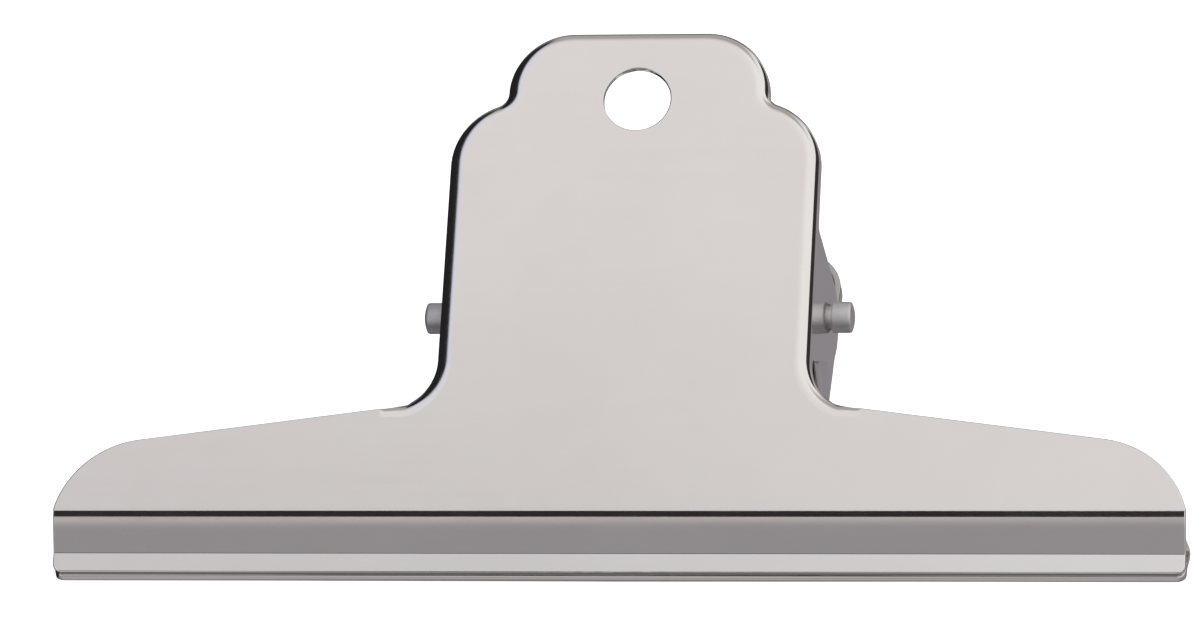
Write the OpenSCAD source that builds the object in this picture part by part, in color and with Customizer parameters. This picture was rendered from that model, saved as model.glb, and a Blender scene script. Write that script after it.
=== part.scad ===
// Bulldog clip: two pressed plates with rolled rims and ears, a pivot pin and a torsion spring.
// The clip lies closed on its rear plate. The rear plate's outer face is on z = 0, the pivot axis
// runs along X straight above the origin, the jaws point to -Y and the handles to +Y.

/* [Jaw] */
// Width of the jaws, the overall length of the clip
jaw_len = 150; // [110:1:180]
// Distance from the pin to the crease above the jaw, along the plate
crease_y = 33.2; // [30:0.1:38]
// Outer radius of the crease
crease_r = 1.3; // [1.25:0.05:2]
// Angle that the band below the crease turns inwards
band_angle = 25; // [15:1:32]
// Width of the band below the crease
band_len = 4.9; // [4:0.1:7]
// Inner radius of the bend between the band and the lip
valley_r = 0.4; // [0.2:0.05:1]
// Angle that the lip turns back outwards
lip_turn = 17; // [8:1:24]
// Width of the lip
lip_len = 2.45; // [2:0.05:5]
// Radius of the lip's lower corners
lip_corner_r = 1.2; // [0.6:0.1:2.4]
// Gap left between the two lips at rest
lip_gap = 0.24; // [0.1:0.02:0.6]

/* [Wings] */
// Radius of the rounded wing ends
wing_end_r = 13; // [10:0.1:16]
// How far the centre of that radius lies below the crease
wing_end_drop = 2.5; // [0:0.1:4]
// Height above the crease at which a wing's end runs straight down
wing_end_side = 0.6; // [0.2:0.1:2]
// Radius of the fillet between the neck and a wing
fillet_r = 7.2; // [6.4:0.1:9]
// Distance from the pin to the start of that fillet
fillet_y = 11.2; // [10:0.1:13]

/* [Handle] */
// Corner radius of the tab
tab_corner_r = 8.8; // [7:0.1:11]
// Radius of the shoulders
shoulder_r = 9.25; // [8:0.05:11]
// Distance from the pin to the start of the shoulder
shoulder_y = 17.2; // [15:0.1:19]
// Radius of the hollow between the tab and a shoulder
notch_r = 2; // [1.4:0.1:3]
// Width of the neck
neck_w = 50; // [46:0.5:56]
// Radius of the hanging hole
hang_r = 4.5; // [3:0.1:6]
// Distance from the hanging hole's centre to the top of the tab
hang_drop = 10.2; // [8:0.1:13]

/* [Sheet and folds] */
// Thickness of the sheet
sheet_t = 1; // [0.8:0.05:1.15]
// Outer radius of the fold round the handle
fold_r = 1.25; // [1.2:0.05:1.8]
// Depth of the rolled rim, from the outer face
rim_depth = 3; // [2.4:0.1:4]
// Depth of the rim where it fades out at the wings
rim_fade_depth = 0.8; // [0.4:0.1:1.4]

/* [Ears] */
// Distance from the outer face of a plate to the pin's axis
ear_depth = 13; // [12:0.1:15]
// Radius of the ear round the pin
ear_r = 6; // [4.5:0.1:7]
// Height above the pin at which an ear leaves the rim
ear_top = 8.5; // [7:0.1:11]
// Distance below the pin at which an ear leaves the rim
ear_low = 10.5; // [8:0.1:11]

/* [Pin] */
// Radius of the pin's shank
pin_r = 1.6; // [1.2:0.1:2]
// Radial clearance between the shank and the ears
pin_fit = 0.05; // [0.02:0.01:0.1]
// Radius of the pin's heads
head_r = 2.1; // [2.05:0.05:3]
// Length of a head
head_len = 2.95; // [2:0.05:4]
// Rounding of a head's outer edge
head_edge_r = 0.8; // [0.4:0.1:1.2]
// Rounding of a head's inner edge
head_root_r = 0.25; // [0.1:0.05:0.5]
// Radius of the dome on a head's end
head_dome_r = 5; // [4:0.25:9]
// End float between a head and the ear beside it
head_float = 0.1; // [0.05:0.05:0.3]

/* [Spring] */
// Diameter of the spring wire
wire_d = 1.8; // [1.4:0.1:2]
// Radial play between the coil and the pin's shank
coil_play = 0.7; // [0.4:0.1:1.2]
// Whole turns in the coil, to which the legs add about a third of a turn
coil_turns = 13; // [8:1:15]
// Gap between two turns of the coil
turn_gap = 0.6; // [0.5:0.05:0.8]
// Distance from the pin to a leg's foot, along the plate
leg_reach = 20; // [16:0.5:23]
// Gap between a foot and the plate that it pushes on
foot_gap = 0.2; // [0.1:0.05:0.5]
// Radius of the wire's bend at the foot
foot_bend_r = 2; // [1.6:0.1:3]
// Length of the straight part of a foot
foot_len = 5; // [3:0.5:8]

/* [Hidden] */
$fn = 48;

// Overrun of the cuts, from the sheet that they go through
cut_over = sheet_t;
neck_half = neck_w / 2;
jaw_half = jaw_len / 2;

// The front ears splay out and the rear ears pinch in, so that they nest. lean_way is the unit
// vector down an ear, and then across the clip.
lean_way = [0.99712, 0.07584];
front_lean = atan2(lean_way.y, lean_way.x);
rear_lean = -front_lean;
// A straight edge of an ear crosses the round end just inside the place where it would touch it
touch_share = 0.9995;

// Outline centres in a plate's own frame: origin on the pin axis, X across, Y towards the tab.
// notch_way is the unit vector from a shoulder's centre to the centre of the hollow above it.
notch_way = [0.352, 0.936];
notch_turn = atan2(notch_way.y, notch_way.x);
shoulder_c = [neck_half - shoulder_r, shoulder_y];
notch_c = shoulder_c + (shoulder_r + notch_r) * notch_way;
tab_c = [notch_c.x - notch_r - tab_corner_r, notch_c.y];
tab_top = tab_c.y + tab_corner_r;
fillet_c = [neck_half + fillet_r, -fillet_y];
wing_end_reach = sqrt(pow(wing_end_r, 2) - pow(wing_end_drop + wing_end_side, 2));
wing_end_c = [jaw_half - wing_end_reach, -crease_y - wing_end_drop];

// The wing's top edge touches the fillet and the wing end
wing_span = wing_end_c - fillet_c;
wing_slope = atan2(wing_span.y, wing_span.x) + asin((fillet_r + wing_end_r) / norm(wing_span));
wing_edge_len = sqrt(pow(norm(wing_span), 2) - pow(fillet_r + wing_end_r, 2));

// Lip tip, run along the outer face from the crease, and the closed angle that follows from it
lip_angle = band_angle - lip_turn;
lip_run = crease_r * sin(band_angle) + band_len * cos(band_angle)
    + valley_r * (sin(band_angle) - sin(lip_angle)) + lip_len * cos(lip_angle);
lip_drop = crease_r * (1 - cos(band_angle)) + band_len * sin(band_angle)
    - valley_r * (cos(band_angle) - cos(lip_angle)) + lip_len * sin(lip_angle);
tip_y = crease_y + lip_run + sheet_t * sin(-lip_angle);
tip_z = ear_depth - lip_drop - sheet_t * cos(lip_angle);
plate_tilt = atan2(tip_z, tip_y) - asin(lip_gap / 2 / norm([tip_y, tip_z]));

hang_y = tab_top - hang_drop;

// Pin: the heads stand clear of the splayed front ears
function wall_pin_v(lean) = (ear_depth - fold_r + (fold_r - sheet_t / 2) * sin(lean)) / cos(lean);
ear_out_x = neck_half - fold_r + fold_r * cos(front_lean) + wall_pin_v(front_lean) * sin(front_lean);
head_x = ear_out_x + head_r * tan(front_lean) + head_float;

// Spring
wire_r = wire_d / 2;
coil_r = pin_r + coil_play + wire_r;
coil_pitch = wire_d + turn_gap;
foot_z = ear_depth - sheet_t - foot_gap - wire_r;
leg_end = [leg_reach, foot_z];
// Angle round the pin, in a plate's own frame, at which a leg leaves the coil
leg_off = atan2(foot_z, leg_reach) + acos(coil_r / norm(leg_end));
leg_dir = [sin(leg_off), -cos(leg_off)];
leg_len = norm(leg_end - coil_r * [cos(leg_off), sin(leg_off)]);
start_angle = leg_off + 2 * plate_tilt;
coil_angle = 360 * coil_turns + (360 - leg_off) - start_angle;
coil_len = coil_pitch * coil_angle / 360;
rings_per_turn = 8;
wire_sides = 6;
bend_rings = 4;

module both_sides() {
    children();
    mirror([1, 0, 0]) children();
}

// A part of a bent sheet between two angles, its outer and inner radii round the origin
module ring_sector(outer_r, inner_r, a0, a1) {
    reach = 2 * outer_r;
    intersection() {
        difference() {
            circle(outer_r);
            circle(inner_r);
        }
        rotate(a0) translate([-reach, 0]) square([2 * reach, reach]);
        rotate(a1) translate([-reach, -reach]) square([2 * reach, reach]);
    }
}

// Section of the fold alone: starts at x = 0 on the outer face, y = 0, and turns down
module fold_section(lean) {
    translate([0, -fold_r]) ring_sector(fold_r, fold_r - sheet_t, lean, 90);
}

// Section of the rolled rim: the fold and the short wall below it
module rim_section(lean) {
    wall = (rim_depth - fold_r) / cos(lean);
    fold_section(lean);
    translate([0, -fold_r])
        rotate(lean)
            translate([fold_r - sheet_t, -wall])
                square([sheet_t, wall]);
}

// Rim round an outward corner of radius r, swept from the direction start
module rim_corner(c, r, start, sweep, lean) {
    translate([c.x, c.y, ear_depth])
        rotate(start)
            rotate_extrude(angle = sweep)
                translate([r - fold_r, 0])
                    rim_section(lean);
}

// Rim round an inward corner of radius r, swept from the direction start
module rim_hollow(c, r, start, sweep, lean) {
    translate([c.x, c.y, ear_depth])
        rotate(start)
            rotate_extrude(angle = sweep)
                translate([r + fold_r, 0])
                    mirror([1, 0])
                        rim_section(lean);
}

// What lies on one side of the upright plane through c that runs in the direction turn:
// side is 1 for the left of it and 0 for the right
module beside(c, turn, side) {
    reach = jaw_half;
    translate([c.x, c.y, 0])
        rotate(turn)
            translate([-reach, (side - 1) * reach, 0])
                cube([2 * reach, reach, 2 * ear_depth]);
}

// The rim from the tab's corner over the hollow to the shoulder
module shoulder_rim(lean) {
    rim_corner(tab_c, tab_corner_r, 0, 90, lean);
    intersection() {
        rim_hollow(notch_c, notch_r, 180, 90, lean);
        beside(shoulder_c, notch_turn, 1);
    }
    intersection() {
        rim_corner(shoulder_c, shoulder_r, 0, 90, lean);
        beside(shoulder_c, notch_turn, 0);
    }
}

// The rim along the fillet, fading out towards the wing
module fading_rim(lean) {
    low = rim_depth + fold_r * tan(abs(rear_lean));
    end_y = -fillet_y - fillet_r * cos(wing_slope) - fold_r;
    intersection() {
        rim_hollow(fillet_c, fillet_r, 180, 90, lean);
        beside(fillet_c, 270 + wing_slope, 0);
        translate([neck_half - 2 * fold_r, 0, ear_depth])
            rotate([90, 0, 90])
                linear_extrude(fillet_r + 3 * fold_r)
                    polygon([
                        [-fillet_y, -low],
                        [-fillet_y, cut_over],
                        [end_y, cut_over],
                        [end_y, -rim_fade_depth]
                    ]);
    }
}

// The ear's edge that leaves the rim at the point rim_at and touches the round end
module ear_edge(rim_at, pin_at, side) {
    to_rim = rim_at - pin_at;
    translate(pin_at)
        rotate(atan2(to_rim.y, to_rim.x) + side * acos(touch_share * ear_r / norm(to_rim)))
            translate([0, side > 0 ? -norm(to_rim) : 0])
                square([touch_share * ear_r, norm(to_rim)]);
}

// The side wall of the neck with its ear, drawn flat: x along the neck, y up the wall
module wall_outline(lean) {
    wall = (rim_depth - fold_r) / cos(lean);
    pin_at = [0, -wall_pin_v(lean)];
    top = [ear_top, -wall];
    low = [-ear_low, -wall];
    translate([-fillet_y, -wall]) square([fillet_y + shoulder_y, wall]);
    ear_edge(top, pin_at, -1);
    ear_edge(low, pin_at, 1);
    translate([-ear_low / 2, pin_at.y]) square([(ear_low + ear_top) / 2, -pin_at.y - wall / 2]);
    translate(pin_at) circle(ear_r);
}

module neck_side(lean) {
    translate([neck_half - fold_r, shoulder_y, ear_depth])
        rotate([90, 0, 0])
            linear_extrude(shoulder_y + fillet_y)
                fold_section(lean);
    translate([neck_half - fold_r, 0, ear_depth - fold_r])
        rotate([0, -lean, 0])
            translate([fold_r - sheet_t, 0, 0])
                rotate([90, 0, 90])
                    linear_extrude(sheet_t)
                        wall_outline(lean);
}

// The flat part of the handle and the neck, drawn in by the fold, down to the crease
module handle_flat() {
    neck_in = neck_half - fold_r;
    translate([-tab_c.x, -crease_y]) square([2 * tab_c.x, crease_y + tab_top - fold_r]);
    translate([-shoulder_c.x, -crease_y])
        square([2 * shoulder_c.x, crease_y + shoulder_y + (shoulder_r - fold_r) / 2]);
    translate([-neck_in, -crease_y]) square([2 * neck_in, crease_y + shoulder_y]);
    both_sides() {
        translate(tab_c) circle(tab_corner_r - fold_r);
        translate(shoulder_c) circle(shoulder_r - fold_r);
        difference() {
            polygon([tab_c, shoulder_c, notch_c]);
            translate(notch_c) circle(notch_r + fold_r);
        }
    }
}

// The corner between the neck and a wing, drawn in by the fold along the fillet
module fillet_flat() {
    difference() {
        translate([0, -crease_y]) square([fillet_c.x, crease_y - fillet_y]);
        translate(fillet_c) circle(fillet_r + fold_r);
    }
}

// A wing beyond the fillet, down to the crease. It is drawn from its top edge, which runs up
// the line x = fillet_r when seen from the fillet's centre along that edge's normal.
module wing_flat() {
    intersection() {
        translate(fillet_c)
            rotate(270 + wing_slope) {
                translate([fillet_r, 0]) square([crease_y, wing_edge_len]);
                translate([fillet_r + wing_end_r, wing_edge_len]) circle(wing_end_r);
            }
        translate([0, -crease_y]) square([jaw_half, crease_y]);
    }
}

// Round an inward bend of outer radius r to where the sheet runs on. Sections run along x with
// the outer face up.
module past_bend_in(r, angle) {
    translate([0, -r]) rotate(-angle) translate([0, r]) children();
}

module past_bend_out(r, angle) {
    translate([0, r]) rotate(angle) translate([0, -r]) children();
}

// The lip, drawn along x with the jaw along z
module lip() {
    straight = lip_len - lip_corner_r;
    inset = jaw_half - lip_corner_r;
    rotate([90, 0, 0])
        linear_extrude(sheet_t) {
            translate([0, -jaw_half]) square([straight, jaw_len]);
            translate([0, -inset]) square([lip_len, 2 * inset]);
            translate([straight, inset]) circle(lip_corner_r);
            translate([straight, -inset]) circle(lip_corner_r);
        }
}

// Crease, band and lip
module jaw() {
    translate([0, -crease_y, ear_depth])
        rotate([90, 0, -90]) {
            linear_extrude(jaw_len, center = true) {
                translate([0, -crease_r])
                    ring_sector(crease_r, crease_r - sheet_t, 90 - band_angle, 90);
                past_bend_in(crease_r, band_angle) {
                    translate([0, -sheet_t]) square([band_len, sheet_t]);
                    translate([band_len, valley_r])
                        ring_sector(valley_r + sheet_t, valley_r, -90, lip_turn - 90);
                }
            }
            past_bend_in(crease_r, band_angle)
                translate([band_len, 0])
                    past_bend_out(valley_r, lip_turn)
                        lip();
        }
}

// One pressed plate: outer face up at ear_depth above the pin axis, ears pointing down
module plate(lean) {
    difference() {
        union() {
            translate([0, 0, ear_depth - sheet_t])
                linear_extrude(sheet_t) {
                    handle_flat();
                    both_sides() {
                        fillet_flat();
                        wing_flat();
                    }
                }
            translate([0, 0, ear_depth])
                rotate([90, 0, 90])
                    linear_extrude(2 * tab_c.x, center = true)
                        translate([tab_top - fold_r, 0])
                            rim_section(lean);
            both_sides() {
                shoulder_rim(lean);
                neck_side(lean);
                fading_rim(lean);
            }
            jaw();
        }
        translate([0, hang_y, ear_depth - sheet_t - cut_over])
            cylinder(h = sheet_t + 2 * cut_over, r = hang_r);
        rotate([0, 90, 0])
            cylinder(h = 2 * head_x, r = pin_r + pin_fit, center = true);
    }
}

module front_plate() {
    color("gainsboro")
        translate([0, 0, ear_depth])
            rotate([2 * plate_tilt, 0, 0])
                plate(front_lean);
}

module rear_plate() {
    color("silver")
        translate([0, 0, ear_depth])
            mirror([0, 0, 1])
                plate(rear_lean);
}

// Half a head in section: x is the radius, y runs outwards from its inner face
module head_section() {
    core = head_r - head_edge_r;
    intersection() {
        union() {
            translate([0, head_root_r]) square([head_r, head_len - head_edge_r - head_root_r]);
            square([head_r - head_root_r, head_root_r]);
            translate([head_r - head_root_r, head_root_r]) circle(head_root_r);
            square([core, head_len]);
            translate([core, head_len - head_edge_r]) circle(head_edge_r);
        }
        translate([0, head_len - head_dome_r]) circle(head_dome_r);
        square([head_r, head_len]);
    }
}

module pivot_pin() {
    color("darkgray")
        translate([0, 0, ear_depth])
            rotate([0, 90, 0]) {
                cylinder(h = 2 * head_x, r = pin_r, center = true);
                for (end = [0, 1])
                    mirror([0, 0, end])
                        translate([0, 0, head_x])
                            rotate_extrude()
                                head_section();
            }
}

// A point of the spring is [place, direction of the wire, side vector]. In the plane across the pin
// axis, turned by an angle, q = [y, z] becomes a place at the given x.
function turned(q, angle) = [q.x * cos(angle) - q.y * sin(angle), q.x * sin(angle) + q.y * cos(angle)];
function at(x, q) = [x, q.x, ear_depth + q.y];
function across(q) = [0, q.x, q.y];

// Foot and leg of one end, drawn for a leg that leaves the coil at x = 0 and lies under a plate
// whose frame is turned by angle. hand is 1 for the front plate and -1 for the rear plate.
function leg_points(x, angle, hand) =
    let (
        flip = function(q) turned([q.x, hand * q.y], angle),
        side = across(flip([cos(leg_off), sin(leg_off)])),
        along = across(flip(leg_dir)),
        inward = [hand, 0, 0],
        root = at(x, flip(coil_r * [cos(leg_off), sin(leg_off)])),
        bend_at = root + (leg_len - foot_bend_r) * along + foot_bend_r * inward
    )
    concat(
        [[bend_at + foot_bend_r * along + foot_len * inward, -hand * inward, side]],
        [
            for (i = [0:bend_rings])
                let (a = 90 * i / bend_rings)
                [
                    bend_at + foot_bend_r * (cos(a) * along - sin(a) * inward),
                    -hand * (cos(a) * inward + sin(a) * along),
                    side
                ]
        ]
    );

coil_rings = ceil(rings_per_turn * coil_angle / 360);
coil_points = [
    for (i = [0:coil_rings])
        let (
            share = i / coil_rings,
            a = start_angle + share * coil_angle,
            rise = coil_len / (coil_angle * PI / 180)
        )
        [
            at(coil_len * (share - 1 / 2), coil_r * [cos(a), sin(a)]),
            [rise, -coil_r * sin(a), coil_r * cos(a)] / norm([rise, coil_r]),
            [0, cos(a), sin(a)]
        ]
];

function reversed(list) = [for (i = [len(list) - 1:-1:0]) list[i]];

spring_points = concat(
    leg_points(-coil_len / 2, 2 * plate_tilt, 1),
    coil_points,
    reversed(leg_points(coil_len / 2, 0, -1))
);

// The least gap of the coil to itself, between places more than half a turn apart
apart = rings_per_turn / 2 + 1;
self_gap = min([
    for (i = [0:len(coil_points) - 1], j = [i + apart:1:len(coil_points) - 1])
        norm(coil_points[i][0] - coil_points[j][0])
]) - wire_d;
echo(spring_least_gap_to_itself_mm = self_gap);

// One unbroken tube along the points
module wire(points) {
    rings = len(points);
    vertices = [
        for (p = points, k = [0:wire_sides - 1])
            let (a = 360 * k / wire_sides, binormal = cross(p[1], p[2]))
            p[0] + wire_r * (cos(a) * p[2] + sin(a) * binormal)
    ];
    sides = [
        for (i = [0:rings - 2], k = [0:wire_sides - 1])
            let (
                a = i * wire_sides + k,
                b = i * wire_sides + (k + 1) % wire_sides
            )
            each [[a, b, b + wire_sides], [a, b + wire_sides, a + wire_sides]]
    ];
    last = (rings - 1) * wire_sides;
    caps = [
        for (k = [1:wire_sides - 2])
            each [[0, k + 1, k], [last, last + k, last + k + 1]]
    ];
    polyhedron(vertices, concat(sides, caps));
}

module torsion_spring() {
    color("dimgray") wire(spring_points);
}

front_plate();
rear_plate();
pivot_pin();
torsion_spring();
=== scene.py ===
"""Bulldog clip: fine meshes of its pieces over the CAD frame, with materials and a studio."""
from math import acos, asin, atan2, cos, degrees, hypot, pi, radians, sin, tan

import bmesh
import bpy
from mathutils import Matrix, Vector


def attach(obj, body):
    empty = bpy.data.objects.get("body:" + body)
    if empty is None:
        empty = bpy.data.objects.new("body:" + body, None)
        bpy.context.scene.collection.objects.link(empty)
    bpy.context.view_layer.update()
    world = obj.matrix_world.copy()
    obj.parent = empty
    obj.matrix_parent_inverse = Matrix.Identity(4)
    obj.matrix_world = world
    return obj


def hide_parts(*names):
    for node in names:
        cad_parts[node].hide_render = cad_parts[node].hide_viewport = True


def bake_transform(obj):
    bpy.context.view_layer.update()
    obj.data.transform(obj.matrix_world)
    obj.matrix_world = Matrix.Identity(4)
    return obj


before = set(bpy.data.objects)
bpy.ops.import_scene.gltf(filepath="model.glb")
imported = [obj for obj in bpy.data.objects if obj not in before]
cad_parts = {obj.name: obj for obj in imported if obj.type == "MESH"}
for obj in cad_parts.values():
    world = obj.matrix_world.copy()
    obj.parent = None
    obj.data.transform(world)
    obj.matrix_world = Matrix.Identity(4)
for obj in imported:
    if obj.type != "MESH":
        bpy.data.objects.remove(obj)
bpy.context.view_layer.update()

MM = 0.001
# Half the floor across, in metres
FLOOR_HALF = 3

# Sizes of the part in millimetres and degrees, as in its source. CAD marks those made finer below
JAW_HALF = 75
CREASE_Y = 33.2
CAD_CREASE_R = 1.3
CAD_BAND_ANGLE = 25
CAD_LIP_ANGLE = 8
CAD_VALLEY_R = 0.4
CAD_BAND_LEN = 4.9
CAD_LIP_LEN = 2.45
LIP_CORNER_R = 1.2
LIP_GAP = 0.24
WING_END_R = 13
WING_END_DROP = 2.5
WING_END_SIDE = 0.6
FILLET_R = 7.2
FILLET_Y = 11.2
TAB_R = 8.8
SHOULDER_R = 9.25
SHOULDER_Y = 17.2
NOTCH_R = 2
NOTCH_WAY = (0.352, 0.936)
NECK_HALF = 25
HANG_R = 4.5
HANG_DROP = 10.2
SHEET = 1
FOLD_R = 1.25
RIM_DEPTH = 3
EAR_DEPTH = 13
EAR_R = 6
EAR_TOP = 8.5
EAR_LOW = 10.5
LEAN_WAY = (0.99712, 0.07584)
LEAN = degrees(atan2(LEAN_WAY[1], LEAN_WAY[0]))
PIN_R = 1.6
HEAD_R = 2.1
HEAD_LEN = 2.95
HEAD_EDGE_R = 0.8
HEAD_DOME_R = 5
HEAD_FLOAT = 0.1
WIRE_R = 0.9
COIL_PLAY = 0.7
COIL_TURNS = 13
TURN_GAP = 0.6
LEG_REACH = 20
FOOT_GAP = 0.2
FOOT_BEND_R = 2
FOOT_LEN = 5

# Finer shapes than the source has. Each fold starts on a wide arc, its lead, before it turns tightly
FOLD_LEAD_R = 8
FOLD_LEAD = 8
CREASE_R = 2.7
CREASE_LEAD_R = 4
CREASE_LEAD = 3
CREASE_TAIL_R = 30
CREASE_TAIL = 3.5
BAND_ANGLE = 27.8
LIP_ANGLE = 3
VALLEY_R = 0.25
PIN_HOLE_R = 1.75
EAR_ROOT_R = 0.9
HEAD_ROOT_R = 0.12
# From this share of the fillet on the rim narrows to RUN_OUT_TURN degrees of its fold, and past the
# fillet it flattens over RUN_OUT
FADE_START = 0.45
RUN_OUT = 1
RUN_OUT_TURN = 24
EDGE_R = 0.16
EDGE_ANGLE = 50

# How many steps each round part is divided into
TAB_STEPS = 22
NOTCH_STEPS = 14
SHOULDER_STEPS = 22
FILLET_STEPS = 30
RUN_OUT_STEPS = 6
WING_END_STEPS = 26
FOLD_STEPS = (4, 10)
CREASE_STEPS = (4, 12, 4)
VALLEY_STEPS = 6
LIP_CORNER_STEPS = 8
EDGE_STEPS = 3
EAR_STEPS = 20
EAR_ROOT_STEPS = 6
HANG_STEPS = 40
PIN_SIDES = 80
HEAD_ROOT_STEPS = 5
HEAD_EDGE_STEPS = 8
HEAD_DOME_STEPS = 5
WIRE_SIDES = 14
COIL_STEPS_PER_TURN = 40
FOOT_BEND_STEPS = 12

# Camera fitted to the photograph: its place in millimetres and the ways to its right and its back
LENS = 245.819
CAMERA_PLACE = (153.082, -820.935, 727.116)
CAMERA_RIGHT = (0.98956188, 0.10677689, -0.09677796)
CAMERA_BACK = (0.14407757, -0.74698121, 0.64904601)

# Outline centres of the right half of a plate, X across and Y towards the tab
NOTCH_TURN = degrees(atan2(NOTCH_WAY[1], NOTCH_WAY[0]))
SHOULDER_C = Vector((NECK_HALF - SHOULDER_R, SHOULDER_Y))
NOTCH_C = SHOULDER_C + (SHOULDER_R + NOTCH_R) * Vector(NOTCH_WAY)
TAB_C = Vector((NOTCH_C.x - NOTCH_R - TAB_R, NOTCH_C.y))
TAB_TOP = TAB_C.y + TAB_R
FILLET_C = Vector((NECK_HALF + FILLET_R, -FILLET_Y))
WING_END_C = Vector((
    JAW_HALF - (WING_END_R ** 2 - (WING_END_DROP + WING_END_SIDE) ** 2) ** 0.5,
    -CREASE_Y - WING_END_DROP,
))
WING_SPAN = WING_END_C - FILLET_C
WING_SLOPE = degrees(
    atan2(WING_SPAN.y, WING_SPAN.x) + asin((FILLET_R + WING_END_R) / WING_SPAN.length)
)


def heading(angle):
    return Vector((cos(radians(angle)), sin(radians(angle))))


def round_about(centre, radius, start, end, steps):
    """Points on an arc, each with its direction from the centre."""
    for i in range(steps + 1):
        out = heading(start + (end - start) * i / steps)
        yield centre + radius * out, out


def cad_jaw():
    """The solid's jaw: how far its crease reaches before the apex, and its lip's tip from there."""
    reach = CAD_CREASE_R * tan(radians(CAD_BAND_ANGLE / 2))
    bend = CAD_VALLEY_R * tan(radians((CAD_BAND_ANGLE - CAD_LIP_ANGLE) / 2))
    band = (reach + CAD_BAND_LEN + bend) * heading(-CAD_BAND_ANGLE)
    return reach, band + (bend + CAD_LIP_LEN) * heading(-CAD_LIP_ANGLE)


def closed_tilt():
    """Angle of a plate to the plane where the lips meet, which leaves the gap between them."""
    reach, tip = cad_jaw()
    inner = (
        CREASE_Y + reach + tip.x - SHEET * sin(radians(CAD_LIP_ANGLE)),
        EAR_DEPTH + tip.y - SHEET * cos(radians(CAD_LIP_ANGLE)),
    )
    return degrees(atan2(inner[1], inner[0]) - asin(LIP_GAP / 2 / hypot(*inner)))


PLATE_TILT = closed_tilt()


class Skin:
    """A welded surface in millimetres, built face by face."""

    def __init__(self):
        self.points = []
        self.index = {}
        self.faces = []

    def point(self, place):
        key = tuple(round(v, 4) for v in place)
        if key not in self.index:
            self.index[key] = len(self.points)
            self.points.append(Vector(place))
        return self.index[key]

    def face(self, places):
        corners = []
        for place in places:
            corner = self.point(place)
            if corner not in corners:
                corners.append(corner)
        if len(corners) > 2:
            self.faces.append(corners)

    def strip(self, rows):
        """Faces between rows of places, all of the same length."""
        for row, after in zip(rows, rows[1:]):
            for i in range(len(row) - 1):
                self.face((row[i], row[i + 1], after[i + 1], after[i]))


def bent(arcs, run):
    """Where a line ends that runs along some arcs, each (radius, turn), and then straight on:
    how far along its first direction and how far down."""
    angle = along = down = 0
    for radius, turn in arcs:
        part = min(run / radius, radians(turn))
        along += radius * (sin(angle + part) - sin(angle))
        down += radius * (cos(angle) - cos(angle + part))
        angle += part
        run -= radius * part
    return Vector((along + run * cos(angle), down + run * sin(angle)))


def arc_steps(arcs, counts):
    """Lengths at which a line along some arcs is divided, each arc into its count of steps."""
    steps = [0]
    for (radius, turn), count in zip(arcs, counts):
        start = steps[-1]
        steps += [start + radius * radians(turn) * i / count for i in range(1, count + 1)]
    return steps


def fold_arcs(lean):
    return (FOLD_LEAD_R, FOLD_LEAD), (FOLD_R, 90 - lean - FOLD_LEAD)


def wall_sizes(lean):
    """Lengths down a plate's side wall from the fold's end: to the rim's edge and to the pin."""
    arcs = fold_arcs(lean)
    start = bent(arcs, arc_steps(arcs, (1, 1))[-1]).y
    rim = RIM_DEPTH - FOLD_R * sin(radians(lean)) - start
    pin = EAR_DEPTH - SHEET / 2 * sin(radians(lean)) - start
    return rim / cos(radians(lean)), pin / cos(radians(lean))


def rim_column(place, out, share, flat, lean):
    """Points down the rim's outer face where the sheet's edge is at place and out points outwards.
    share is the part of the full section that is folded over there, and flat how far it is
    straightened out again, from 0 to 1."""
    arcs = fold_arcs(lean)
    steps = arc_steps(arcs, FOLD_STEPS)
    steps.append(steps[-1] + wall_sizes(lean)[0])
    if flat < 1:
        eased = [(radius / (1 - flat), turn * (1 - flat)) for radius, turn in arcs]
        spots = [bent(eased, share * step) for step in steps]
    else:
        spots = [Vector((share * step, 0)) for step in steps]
    start = place - max(spot.x for spot in spots) * out
    return [((start + spot.x * out).x, (start + spot.x * out).y, -spot.y) for spot in spots]


def rim_stations():
    """The right half's edge from the tab's top to the wing: place, way out, share and flatness."""
    stations = [(Vector((0, TAB_TOP)), Vector((0, 1)), 1, 0)]
    for place, out in round_about(TAB_C, TAB_R, 90, 0, TAB_STEPS):
        stations.append((place, out, 1, 0))
    notch = list(round_about(NOTCH_C, NOTCH_R, 180, 180 + NOTCH_TURN, NOTCH_STEPS))
    for place, out in notch[1:]:
        stations.append((place, -out, 1, 0))
    shoulder = list(round_about(SHOULDER_C, SHOULDER_R, NOTCH_TURN, 0, SHOULDER_STEPS))
    for place, out in shoulder[1:]:
        stations.append((place, out, 1, 0))
    neck = len(stations) - 1
    fold = arc_steps(fold_arcs(90 - RUN_OUT_TURN), (1, 1))[-1]
    whole = arc_steps(fold_arcs(0), (1, 1))[-1] + wall_sizes(0)[0]
    last = fold / whole
    fillet = round_about(FILLET_C, FILLET_R, 180, 270 + WING_SLOPE, FILLET_STEPS)
    for i, (place, out) in enumerate(fillet):
        t = max(0, (i / FILLET_STEPS - FADE_START) / (1 - FADE_START))
        eased = t * t * (3 - 2 * t)
        stations.append((place, -out, 1 + (last - 1) * eased, 0))
    place, out = stations[-1][:2]
    along = Vector((out.y, -out.x))
    for i in range(1, RUN_OUT_STEPS + 1):
        t = i / RUN_OUT_STEPS
        stations.append((place + RUN_OUT * t * along, out, last, t * t * (3 - 2 * t)))
    return stations, neck


def wing_edge():
    """Free edge from the wing's end down to the crease, in order."""
    start = 90 + WING_SLOPE
    end = degrees(asin((WING_END_DROP + WING_END_SIDE) / WING_END_R))
    return [place for place, _ in round_about(WING_END_C, WING_END_R, start, end, WING_END_STEPS)]


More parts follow.
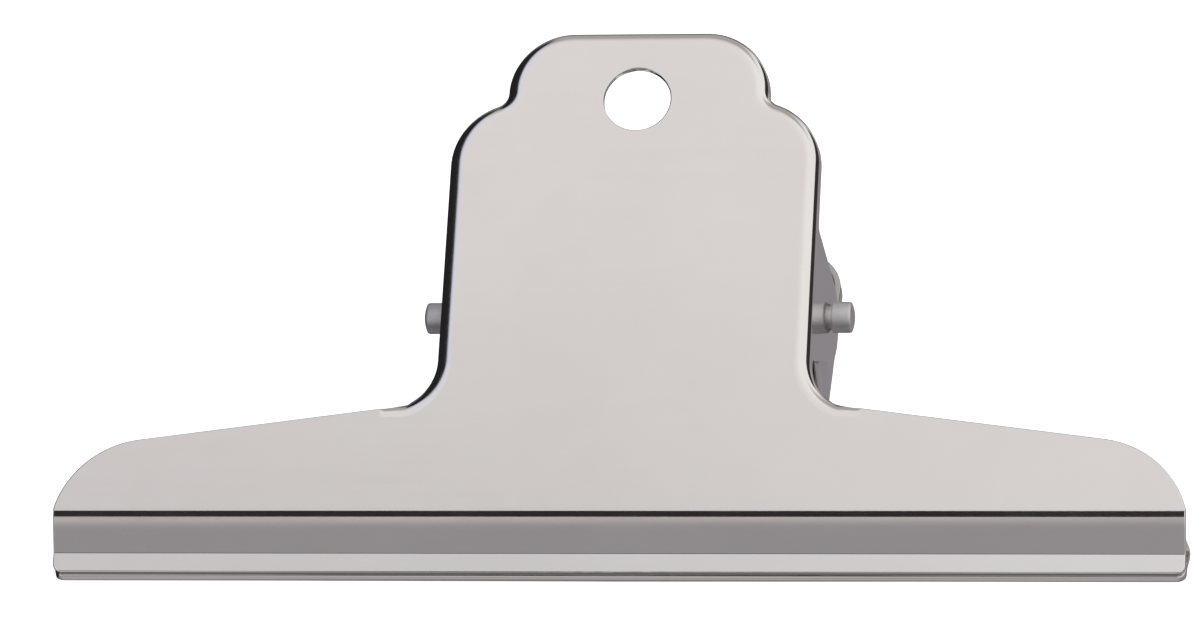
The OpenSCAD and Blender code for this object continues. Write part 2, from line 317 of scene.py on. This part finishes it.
def jaw_section():
    """Outer face of crease, band and lip, as (run, drop) from the crease's apex, with the apex's Y
    and how far each row is set in at the ends for the lip's rounded corners."""
    reach, tip = cad_jaw()
    along, lip = heading(-BAND_ANGLE), heading(-LIP_ANGLE)
    cross = along.x * lip.y - along.y * lip.x
    band = (tip.x * lip.y - tip.y * lip.x) / cross
    lip_len = (along.x * tip.y - along.y * tip.x) / cross
    apex_y = -CREASE_Y - reach
    arcs = (
        (CREASE_LEAD_R, CREASE_LEAD),
        (CREASE_R, BAND_ANGLE - CREASE_LEAD - CREASE_TAIL),
        (CREASE_TAIL_R, CREASE_TAIL),
    )
    spots = [bent(arcs, step) for step in arc_steps(arcs, CREASE_STEPS)]
    lead = spots[-1].x - spots[-1].y / tan(radians(BAND_ANGLE))
    rows = [Vector((spot.x - lead, -spot.y)) for spot in spots]
    tail = VALLEY_R * tan(radians((BAND_ANGLE - LIP_ANGLE) / 2))
    valley = (band - tail) * along
    side = Vector((-along.y, along.x))
    centre = valley + VALLEY_R * side
    for i in range(VALLEY_STEPS + 1):
        angle = BAND_ANGLE + (LIP_ANGLE - BAND_ANGLE) * i / VALLEY_STEPS
        rows.append(centre - VALLEY_R * Vector((-heading(-angle).y, heading(-angle).x)))
    lip_start = rows[-1]
    straight = lip_len - tail - LIP_CORNER_R
    insets = [0] * len(rows) + [0]
    rows.append(lip_start + straight * lip)
    for i in range(1, LIP_CORNER_STEPS + 1):
        angle = pi / 2 * i / LIP_CORNER_STEPS
        rows.append(lip_start + (straight + LIP_CORNER_R * sin(angle)) * lip)
        insets.append(LIP_CORNER_R * (1 - cos(angle)))
    return apex_y, rows, insets


def rounded_corner(before, corner, after, radius, steps):
    """Points that round off a corner between two straight edges."""
    one = (before - corner).normalized()
    two = (after - corner).normalized()
    half = acos(max(-1, min(1, one.dot(two)))) / 2
    centre = corner + (one + two).normalized() * radius / sin(half)
    first = corner + one * radius / tan(half)
    start = atan2(first.y - centre.y, first.x - centre.x)
    last = corner + two * radius / tan(half)
    end = atan2(last.y - centre.y, last.x - centre.x)
    sweep = (end - start + pi) % (2 * pi) - pi
    return [
        centre + radius * Vector((cos(start + sweep * i / steps), sin(start + sweep * i / steps)))
        for i in range(steps + 1)
    ]


def ear_halves(lean):
    """Side wall of the neck with its ear, flat: X along the neck and Y down the wall. It is split
    through the pin's hole into a half on the tab's side and one on the jaw's side."""
    wall, down = wall_sizes(lean)
    pin = Vector((0, down))
    halves = []
    for end, root_at in ((SHOULDER_Y, EAR_TOP), (-FILLET_Y, -EAR_LOW)):
        side = 1 if end > 0 else -1
        root = Vector((root_at, wall))
        way = root - pin
        touch = degrees(atan2(way.y, side * way.x) + acos(EAR_R / way.length))
        arc = [
            pin + EAR_R * Vector((side * heading(a).x, heading(a).y))
            for a in (touch + (90 - touch) * i / EAR_STEPS for i in range(EAR_STEPS + 1))
        ]
        corner = rounded_corner(Vector((end, wall)), root, arc[0], EAR_ROOT_R, EAR_ROOT_STEPS)
        hole = [
            pin + PIN_HOLE_R * Vector((side * heading(a).x, heading(a).y))
            for a in (90 - 180 * i / EAR_STEPS for i in range(EAR_STEPS + 1))
        ]
        halves.append([Vector((0, 0)), Vector((end, 0)), Vector((end, wall)), *corner, *arc, *hole])
    return halves


def plate_skin(lean):
    """Outer face of a plate, X across, Y towards the tab, the face on Z = 0."""
    skin = Skin()
    stations, neck = rim_stations()
    columns = [rim_column(*station, lean) for station in stations]
    middle = rim_column(Vector((NECK_HALF, 0)), Vector((1, 0)), 1, 0, lean)
    root = middle[-2]

    def wall(place):
        return (root[0] + place.y * sin(radians(lean)), place.x, root[2] - place.y * cos(radians(lean)))

    apex_y, section, insets = jaw_section()
    crease_y = apex_y - section[0].x
    hang_y = TAB_TOP - HANG_DROP
    hang = [place for place, _ in round_about(Vector((0, hang_y)), HANG_R, -90, 90, HANG_STEPS)]
    tops = [column[0] for column in (*columns[:neck + 1], middle, *columns[neck + 1:])]
    edge = [place[:2] for place in (*tops, *columns[-1])]
    edge += [*wing_edge(), (JAW_HALF, crease_y), (0, crease_y)]
    for side in (1, -1):
        def there(place):
            return (side * place[0], *place[1:])
        skin.strip([[there(p) for p in column] for column in columns[:neck + 1]])
        for one, two in ((columns[neck], middle), (middle, columns[neck + 1])):
            skin.strip([[there(p) for p in one[:-1]], [there(p) for p in two[:-1]]])
        skin.strip([[there(p) for p in column] for column in columns[neck + 1:]])
        for half in ear_halves(lean):
            skin.face([there(wall(place)) for place in half])
        skin.face([there((*place, 0)) for place in [*edge, *hang]])
    skin.strip([
        [(x, apex_y - spot.x, spot.y) for x in (inset - JAW_HALF, 0, JAW_HALF - inset)]
        for spot, inset in zip(section, insets)
    ])
    return skin


def object_from(name, skin, face_up=False):
    """An object with the skin's faces, all turned the same way and, if asked, the largest up."""
    mesh = bpy.data.meshes.new(name)
    mesh.from_pydata([p * MM for p in skin.points], [], skin.faces)
    work = bmesh.new()
    work.from_mesh(mesh)
    bmesh.ops.recalc_face_normals(work, faces=work.faces)
    if face_up and max(work.faces, key=lambda f: f.calc_area()).normal.z < 0:
        bmesh.ops.reverse_faces(work, faces=work.faces)
    work.to_mesh(mesh)
    work.free()
    obj = bpy.data.objects.new(name, mesh)
    bpy.context.scene.collection.objects.link(obj)
    return obj


def pressed_from(name, skin, thickness, place):
    """A sheet of even thickness with eased edges, its outer face on the skin."""
    obj = object_from(name, skin, face_up=True)
    solid = obj.modifiers.new("sheet", "SOLIDIFY")
    solid.thickness = thickness * MM
    solid.offset = -1
    solid.use_even_offset = True
    solid.use_quality_normals = True
    bevel = obj.modifiers.new("edges", "BEVEL")
    bevel.width = EDGE_R * MM
    bevel.segments = EDGE_STEPS
    bevel.limit_method = "ANGLE"
    bevel.angle_limit = radians(EDGE_ANGLE)
    bevel.use_clamp_overlap = False
    bevel.loop_slide = False
    finish_mesh(obj)
    obj.data.transform(place)
    if place.determinant() < 0:
        obj.data.flip_normals()
    return obj


def finish_mesh(obj):
    """Smooth shading with the large faces leading, and the modifiers applied."""
    for face in obj.data.polygons:
        face.use_smooth = True
    weighted = obj.modifiers.new("normals", "WEIGHTED_NORMAL")
    weighted.weight = 100
    graph = bpy.context.evaluated_depsgraph_get()
    done = bpy.data.meshes.new_from_object(obj.evaluated_get(graph))
    obj.modifiers.clear()
    obj.data = done


def dress(obj, material):
    obj.data.materials.clear()
    obj.data.materials.append(material)


# Materials
class Nodes:
    """A material's node tree, with short calls to add and join nodes."""

    def __init__(self, name):
        self.mat = bpy.data.materials.new(name)
        self.mat.use_nodes = True
        self.tree = self.mat.node_tree
        self.tree.nodes.clear()
        self.out = self.add("ShaderNodeOutputMaterial")
        self.bsdf = self.add("ShaderNodeBsdfPrincipled")
        self.join(self.bsdf.outputs["BSDF"], self.out.inputs["Surface"])
        self.coord = self.add("ShaderNodeTexCoord").outputs["Object"]

    def add(self, kind, **values):
        node = self.tree.nodes.new(kind)
        for key, value in values.items():
            setattr(node, key, value)
        return node

    def join(self, a, b):
        self.tree.links.new(a, b)

    def set(self, **values):
        for key, value in values.items():
            self.bsdf.inputs[key.replace("_", " ")].default_value = value

    def stretched(self, scale):
        node = self.add("ShaderNodeMapping")
        node.inputs["Scale"].default_value = scale
        self.join(self.coord, node.inputs["Vector"])
        return node.outputs["Vector"]

    def noise(self, vector, scale, detail=3.0, rough=0.55):
        node = self.add("ShaderNodeTexNoise", noise_dimensions="3D")
        node.inputs["Scale"].default_value = scale
        node.inputs["Detail"].default_value = detail
        node.inputs["Roughness"].default_value = rough
        self.join(vector, node.inputs["Vector"])
        return node.outputs["Fac"]

    def mapped(self, value, low, high, to_low, to_high):
        node = self.add("ShaderNodeMapRange")
        node.inputs["From Min"].default_value = low
        node.inputs["From Max"].default_value = high
        node.inputs["To Min"].default_value = to_low
        node.inputs["To Max"].default_value = to_high
        self.join(value, node.inputs["Value"])
        return node.outputs["Result"]

    def sum(self, a, b, kind="ADD"):
        node = self.add("ShaderNodeMath", operation=kind)
        self.join(a, node.inputs[0])
        self.join(b, node.inputs[1])
        return node.outputs["Value"]

    def ramp(self, value, *stops):
        node = self.add("ShaderNodeValToRGB")
        ramp = node.color_ramp
        while len(ramp.elements) < len(stops):
            ramp.elements.new(0.5)
        for element, (place, colour) in zip(ramp.elements, stops):
            element.position = place
            element.color = (*colour, 1)
        self.join(value, node.inputs["Fac"])
        return node.outputs["Color"]

    def bump(self, height, strength, distance, normal=None):
        node = self.add("ShaderNodeBump")
        node.inputs["Strength"].default_value = strength
        node.inputs["Distance"].default_value = distance
        self.join(height, node.inputs["Height"])
        if normal is not None:
            self.join(normal, node.inputs["Normal"])
        return node.outputs["Normal"]


def nickel(name):
    """Nickel plate over sheet that was rolled bright along its length before it was pressed."""
    n = Nodes(name)
    grain = n.noise(n.stretched((0.02, 1, 1)), 2600, 2.0, 0.6)
    drawn = n.noise(n.stretched((0.06, 1, 1)), 700, 3.0, 0.6)
    cloud = n.noise(n.coord, 45, 4.0, 0.6)
    haze = n.noise(n.coord, 260, 3.0, 0.55)
    colour = n.ramp(cloud, (0.3, (0.715, 0.69, 0.68)), (0.7, (0.735, 0.715, 0.705)))
    n.join(colour, n.bsdf.inputs["Base Color"])
    rough = n.sum(n.mapped(drawn, 0.3, 0.7, 0.085, 0.115), n.mapped(haze, 0.3, 0.7, -0.01, 0.015))
    n.join(rough, n.bsdf.inputs["Roughness"])
    fine = n.bump(grain, 0.06, 0.00001)
    n.join(n.bump(drawn, 0.06, 0.00002, fine), n.bsdf.inputs["Normal"])
    n.set(Metallic=1.0)
    return n.mat


def polished(name):
    """Nickel plate over the turned and headed pin."""
    n = Nodes(name)
    rings = n.noise(n.stretched((1, 0.08, 0.08)), 1800, 2.0, 0.5)
    cloud = n.noise(n.coord, 600, 3.0, 0.5)
    colour = n.ramp(cloud, (0.3, (0.72, 0.71, 0.725)), (0.7, (0.76, 0.75, 0.765)))
    n.join(colour, n.bsdf.inputs["Base Color"])
    n.join(n.mapped(cloud, 0.3, 0.7, 0.54, 0.60), n.bsdf.inputs["Roughness"])
    n.join(n.bump(rings, 0.05, 0.00002), n.bsdf.inputs["Normal"])
    n.set(Metallic=1.0)
    return n.mat


def spring_steel(name):
    """Drawn spring wire, faintly darkened by its heat treatment."""
    n = Nodes(name)
    cloud = n.noise(n.coord, 320, 4.0, 0.6)
    spots = n.noise(n.coord, 2400, 2.0, 0.6)
    colour = n.ramp(cloud, (0.3, (0.36, 0.34, 0.325)), (0.7, (0.47, 0.455, 0.44)))
    n.join(colour, n.bsdf.inputs["Base Color"])
    n.join(n.mapped(cloud, 0.3, 0.7, 0.24, 0.36), n.bsdf.inputs["Roughness"])
    n.join(n.bump(spots, 0.15, 0.00003), n.bsdf.inputs["Normal"])
    n.set(Metallic=1.0)
    return n.mat


def floor_paint(name):
    """White table, lit evenly enough to lose its shadows."""
    n = Nodes(name)
    cloud = n.noise(n.coord, 6, 3.0, 0.5)
    colour = n.ramp(cloud, (0.3, (0.90, 0.90, 0.90)), (0.7, (0.92, 0.92, 0.92)))
    n.join(colour, n.bsdf.inputs["Base Color"])
    n.join(n.mapped(cloud, 0.3, 0.7, 0.6, 0.7), n.bsdf.inputs["Roughness"])
    n.set(Emission_Color=(1, 1, 1, 1), Emission_Strength=0.9)
    return n.mat


plate_mat = nickel("nickel_plate")

# Plates: the rear one lies face down, the front one stands over it, turned about the pin
rear_place = Matrix.Diagonal((1, 1, -1, 1))
front_place = (
    Matrix.Translation((0, 0, EAR_DEPTH * MM))
    @ Matrix.Rotation(radians(2 * PLATE_TILT), 4, "X")
    @ Matrix.Translation((0, 0, EAR_DEPTH * MM))
)
for body, lean, place in (("front", LEAN, front_place), ("rear", -LEAN, rear_place)):
    plate = pressed_from(body + "_pressing", plate_skin(lean), SHEET, place)
    dress(plate, plate_mat)
    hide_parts(body + "_plate")
    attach(plate, body)


# Pin
def pin_profile():
    """Half the pin in section from its middle to the end of a head: (along, radius)."""
    ear_out = NECK_HALF + wall_sizes(LEAN)[1] * sin(radians(LEAN))
    head_x = ear_out + HEAD_R * tan(radians(LEAN)) + HEAD_FLOAT
    profile = [(0, PIN_R), (head_x, PIN_R)]
    for i in range(HEAD_ROOT_STEPS + 1):
        a = pi / 2 * i / HEAD_ROOT_STEPS
        profile.append((head_x + HEAD_ROOT_R * (1 - cos(a)), HEAD_R - HEAD_ROOT_R * (1 - sin(a))))
    end = head_x + HEAD_LEN
    core = HEAD_R - HEAD_EDGE_R
    for i in range(HEAD_EDGE_STEPS + 1):
        a = pi / 2 * i / HEAD_EDGE_STEPS
        along = end - HEAD_EDGE_R + HEAD_EDGE_R * sin(a)
        radius = core + HEAD_EDGE_R * cos(a)
        domed = end - HEAD_DOME_R + (HEAD_DOME_R ** 2 - radius ** 2) ** 0.5
        profile.append((min(along, domed), radius))
    for i in range(1, HEAD_DOME_STEPS):
        radius = core * (1 - i / HEAD_DOME_STEPS)
        profile.append((end - HEAD_DOME_R + (HEAD_DOME_R ** 2 - radius ** 2) ** 0.5, radius))
    return profile, end


def revolved_pin():
    profile, end = pin_profile()
    whole = [(-x, r) for x, r in reversed(profile)][:-1] + profile
    turns = [2 * pi * k / PIN_SIDES for k in range(PIN_SIDES)]
    skin = Skin()
    rings = [[(x, r * cos(a), EAR_DEPTH + r * sin(a)) for a in turns] for x, r in whole]
    skin.strip([ring + ring[:1] for ring in rings])
    for tip, ring in ((-end, rings[0]), (end, rings[-1])):
        for k in range(PIN_SIDES):
            skin.face(((tip, 0, EAR_DEPTH), ring[k], ring[(k + 1) % PIN_SIDES]))
    return skin


pin = object_from("headed_pin", revolved_pin())
finish_mesh(pin)
dress(pin, polished("nickel_pin"))
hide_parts("pivot_pin")
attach(pin, "rear")


# Spring
def turned(y, z, angle):
    a = radians(angle)
    return y * cos(a) - z * sin(a), y * sin(a) + z * cos(a)


def spring_path():
    """Rings of the wire: centre, direction of the wire and a direction across it."""
    coil_r = PIN_R + COIL_PLAY + WIRE_R
    foot_z = EAR_DEPTH - SHEET - FOOT_GAP - WIRE_R
    reach = hypot(LEG_REACH, foot_z)
    off = degrees(atan2(foot_z, LEG_REACH)) + degrees(acos(coil_r / reach))
    leg_len = (reach ** 2 - coil_r ** 2) ** 0.5
    start = off + 2 * PLATE_TILT
    sweep = 360 * COIL_TURNS + (360 - off) - start
    length = (2 * WIRE_R + TURN_GAP) * sweep / 360

    def leg(x, angle, hand):
        def across(y, z):
            return Vector((0, *turned(y, hand * z, angle)))
        side = across(cos(radians(off)), sin(radians(off)))
        along = across(sin(radians(off)), -cos(radians(off)))
        inward = Vector((hand, 0, 0))
        root = Vector((x, 0, EAR_DEPTH)) + coil_r * side
        bend = root + (leg_len - FOOT_BEND_R) * along + FOOT_BEND_R * inward
        foot = bend + FOOT_BEND_R * along
        rings = [(foot + FOOT_LEN * inward * f, -hand * inward, side) for f in (1, 0.5)]
        for i in range(FOOT_BEND_STEPS + 1):
            a = pi / 2 * i / FOOT_BEND_STEPS
            rings.append((
                bend + FOOT_BEND_R * (cos(a) * along - sin(a) * inward),
                -hand * (cos(a) * inward + sin(a) * along),
                side,
            ))
        return rings

    steps = int(COIL_STEPS_PER_TURN * sweep / 360)
    rise = length / radians(sweep)
    coil = []
    for i in range(steps + 1):
        a = radians(start + sweep * i / steps)
        coil.append((
            Vector((length * (i / steps - 0.5), coil_r * cos(a), EAR_DEPTH + coil_r * sin(a))),
            Vector((rise, -coil_r * sin(a), coil_r * cos(a))).normalized(),
            Vector((0, cos(a), sin(a))),
        ))
    return leg(-length / 2, 2 * PLATE_TILT, 1) + coil + leg(length / 2, 0, -1)[::-1]


def wound_wire():
    turns = [2 * pi * k / WIRE_SIDES for k in range(WIRE_SIDES)]
    skin = Skin()
    rings = []
    for centre, way, side in spring_path():
        normal = way.cross(side).normalized()
        rings.append([
            tuple(centre + WIRE_R * (cos(a) * side + sin(a) * normal)) for a in turns
        ])
    skin.strip([ring + ring[:1] for ring in rings])
    skin.face(rings[0])
    skin.face(rings[-1])
    return skin


spring = object_from("wound_spring", wound_wire())
finish_mesh(spring)
dress(spring, spring_steel("spring_wire"))
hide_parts("torsion_spring")
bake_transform(spring)


# Floor, light and camera
def floor_card():
    mesh = bpy.data.meshes.new("floor")
    corners = [(x * FLOOR_HALF, y * FLOOR_HALF, 0) for x, y in ((-1, -1), (1, -1), (1, 1), (-1, 1))]
    mesh.from_pydata(corners, [], [(0, 1, 2, 3)])
    obj = bpy.data.objects.new("floor", mesh)
    bpy.context.scene.collection.objects.link(obj)
    mesh.materials.append(floor_paint("floor_paint"))
    obj.visible_glossy = False


floor_card()


class Sky:
    """World colour by direction, as a stack of soft-edged regions."""

    def __init__(self, base):
        self.base = base
        self.world = bpy.data.worlds.new("studio")
        self.world.use_nodes = True
        self.tree = self.world.node_tree
        coord = self.tree.nodes.new("ShaderNodeTexCoord")
        split = self.tree.nodes.new("ShaderNodeSeparateXYZ")
        self.tree.links.new(coord.outputs["Generated"], split.inputs[0])
        self.axis = dict(zip("xyz", split.outputs))
        self.colour = None

    def edge(self, axis, low, high):
        """0 below low and 1 above high, along one axis of the direction."""
        node = self.tree.nodes.new("ShaderNodeMapRange")
        node.interpolation_type = "SMOOTHSTEP"
        node.inputs["From Min"].default_value = min(low, high)
        node.inputs["From Max"].default_value = max(low, high)
        node.inputs["To Min"].default_value = 0 if low < high else 1
        node.inputs["To Max"].default_value = 1 if low < high else 0
        self.tree.links.new(self.axis[axis], node.inputs["Value"])
        return node.outputs["Result"]

    def both(self, *masks):
        result = masks[0]
        for mask in masks[1:]:
            node = self.tree.nodes.new("ShaderNodeMath")
            node.operation = "MULTIPLY"
            self.tree.links.new(result, node.inputs[0])
            self.tree.links.new(mask, node.inputs[1])
            result = node.outputs["Value"]
        return result

    def lay(self, colour, *masks):
        """Lay a colour over what is there, where all the masks are 1."""
        node = self.tree.nodes.new("ShaderNodeMix")
        node.data_type = "RGBA"
        mix, under, over = [node.inputs[i] for i in (0, 6, 7)]
        self.tree.links.new(self.both(*masks), mix)
        if self.colour is None:
            under.default_value = (*self.base, 1)
        else:
            self.tree.links.new(self.colour, under)
        over.default_value = (*colour, 1)
        self.colour = node.outputs[2]

    def hang(self):
        self.tree.links.new(self.colour, self.tree.nodes["Background"].inputs["Color"])
        bpy.context.scene.world = self.world


sky = Sky((0.30, 0.285, 0.30))
sky.lay((0.60, 0.59, 0.59), sky.edge("z", -0.50, -0.42))
sky.lay((0.14, 0.135, 0.14), sky.edge("z", -0.90, -0.96))
sky.lay((0.50, 0.49, 0.50), sky.edge("y", -0.70, -0.78), sky.edge("z", -0.48, -0.53))

# Soft light overhead, brighter towards the tab and the right
upper = sky.edge("z", 0.38, 0.48)
sky.lay((0.77, 0.755, 0.75), upper)
sky.lay((0.91, 0.89, 0.885), upper, sky.edge("x", -0.17, -0.08))
sky.lay((0.96, 0.94, 0.935), upper, sky.edge("y", -0.075, -0.03))
sky.lay((0.90, 0.93, 1.02), upper, sky.edge("y", -0.185, -0.215))
sky.lay((0.90, 0.92, 1.05), upper, sky.edge("x", -0.23, -0.27))
sky.lay((1.08, 1.07, 1.05), upper, sky.edge("x", -0.08, 0.10))
behind = sky.edge("x", 0.5, 0.2)
sky.lay((0.50, 0.48, 0.46), upper, sky.edge("y", 0.14, 0.35), behind)
sky.lay(
    (0.22, 0.21, 0.20),
    sky.edge("y", 0.50, 0.60),
    behind,
    sky.edge("z", 0.42, 0.34),
    sky.edge("z", -0.50, -0.42),
)

# Dark and grey cards: in front above the crease, at the right and at the left
ahead = sky.edge("z", 0.30, 0.40)
sky.lay(
    (0.03, 0.026, 0.025),
    ahead,
    sky.edge("y", -0.25, -0.31),
    sky.edge("x", -0.38, -0.30),
    sky.edge("x", 0.06, 0.0),
)
sky.lay((0.72, 0.69, 0.67), ahead, sky.edge("y", -0.768, -0.778))
sky.lay((0.37, 0.36, 0.37), ahead, sky.edge("y", -0.775, -0.838))
aside = sky.edge("y", 0.02, 0.10)
sky.lay(
    (0.04, 0.037, 0.035),
    sky.edge("x", 0.50, 0.62),
    aside,
    sky.edge("z", 0.46, 0.38),
    sky.edge("z", -0.50, -0.42),
)
left_colour = (0.02, 0.02, 0.022)
sky.lay(
    left_colour,
    sky.edge("x", -0.30, -0.37),
    sky.edge("y", -0.16, -0.08),
    sky.edge("y", 0.85, 0.75),
)
sky.lay(
    left_colour,
    sky.edge("x", -0.72, -0.80),
    sky.edge("y", -0.62, -0.52),
    sky.edge("y", 0.0, -0.08),
)
sky.hang()

scene = bpy.context.scene
scene.view_settings.view_transform = "Standard"

camera = bpy.data.cameras.new("camera")
camera.sensor_width = 36
camera.lens = LENS
camera.clip_start = 0.05
camera_obj = bpy.data.objects.new("camera", camera)
scene.collection.objects.link(camera_obj)
back = Vector(CAMERA_BACK).normalized()
up = back.cross(Vector(CAMERA_RIGHT)).normalized()
right = up.cross(back)
place = [v * MM for v in CAMERA_PLACE]
camera_obj.matrix_world = Matrix((
    (right.x, up.x, back.x, place[0]),
    (right.y, up.y, back.y, place[1]),
    (right.z, up.z, back.z, place[2]),
    (0, 0, 0, 1),
))
scene.camera = camera_obj

bpy.context.view_layer.update()
